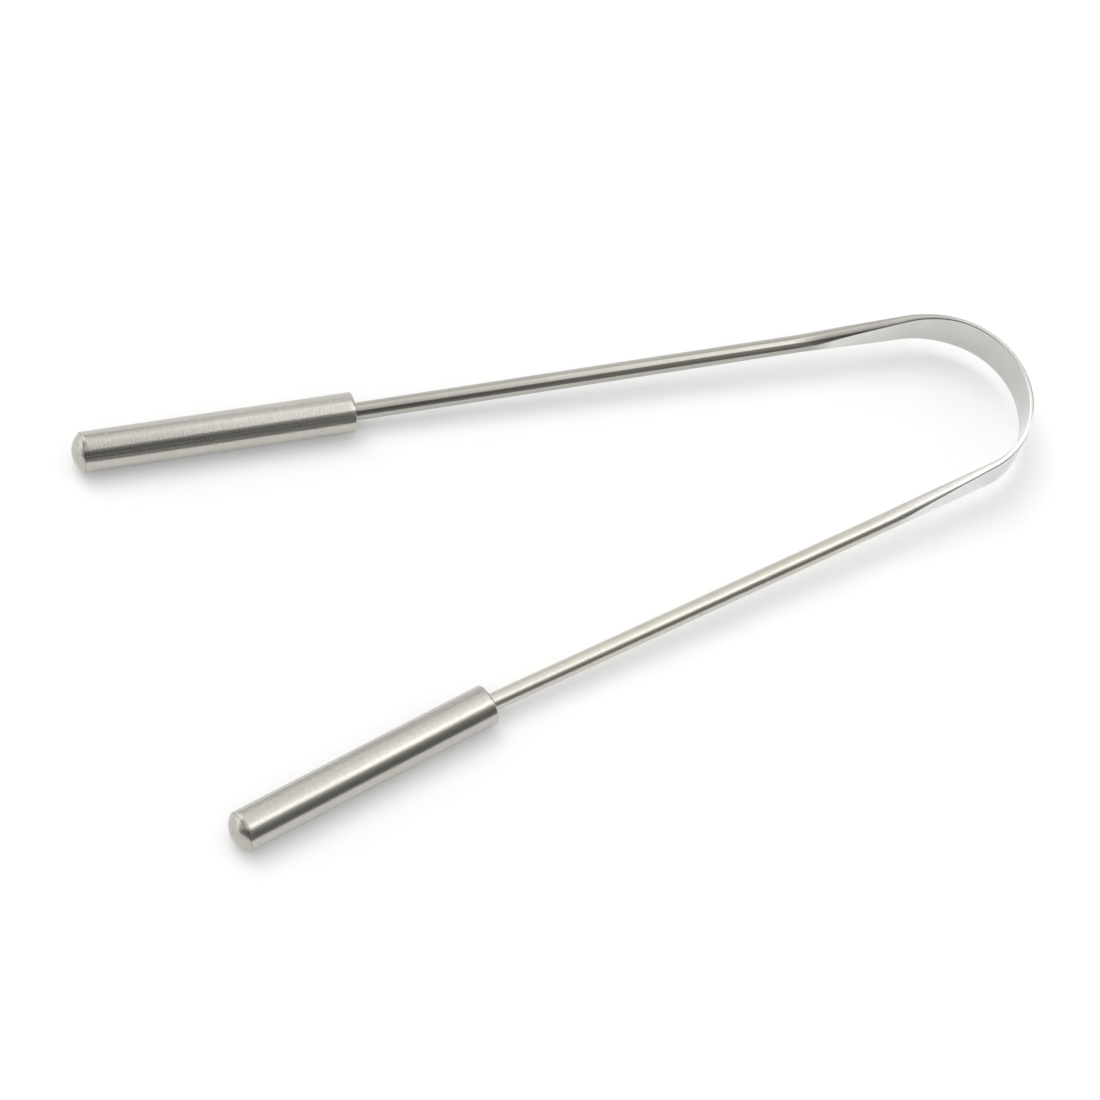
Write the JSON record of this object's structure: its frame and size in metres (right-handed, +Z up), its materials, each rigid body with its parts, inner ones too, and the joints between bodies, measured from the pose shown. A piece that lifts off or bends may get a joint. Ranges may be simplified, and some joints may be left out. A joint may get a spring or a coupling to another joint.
{
  "type": "tongue scraper",
  "caption": "U-shaped stainless tongue scraper: a springy wire with its bow pressed flat as the blade, and a round hollow grip with a domed plug on each end.",
  "frame": {"origin": "middle of the whole part in plan, on the surface that the grips lie on", "axes": "+X points to the bow with the blade, +Y to the left arm as seen by a user who holds the grips and looks to the bow, +Z up"},
  "size_m": [0.1472, 0.0722, 0.0104],
  "materials": {
    "wire": "bright drawn wire, pressed flat and polished at the bow",
    "grip": "finely turned satin",
    "plug": "soft satin",
    "bush": "plain turned"
  },
  "bodies": {
    "bow": {"blade": "wire"},
    "left_side": {"left_arm": "wire", "left_grip": "grip", "left_end_plug": "plug", "left_bush": "bush"},
    "right_side": {"right_arm": "wire", "right_grip": "grip", "right_end_plug": "plug", "right_bush": "bush"}
  },
  "joints": [
    {"name": "left_flex", "type": "hinge", "parent": "bow", "child": "left_side", "pos_m": [0.06797, 0.0119, 0.00657], "axis": [-0.0349, -0.0017, 0.9994], "range_deg": [-6, 11], "stiffness_Nm_per_rad": 2.6},
    {"name": "right_flex", "type": "hinge", "parent": "bow", "child": "right_side", "pos_m": [0.06797, -0.01001, 0.00653], "axis": [0.0349, 0.0017, -0.9994], "range_deg": [-6, 11], "stiffness_Nm_per_rad": 2.6}
  ]
}
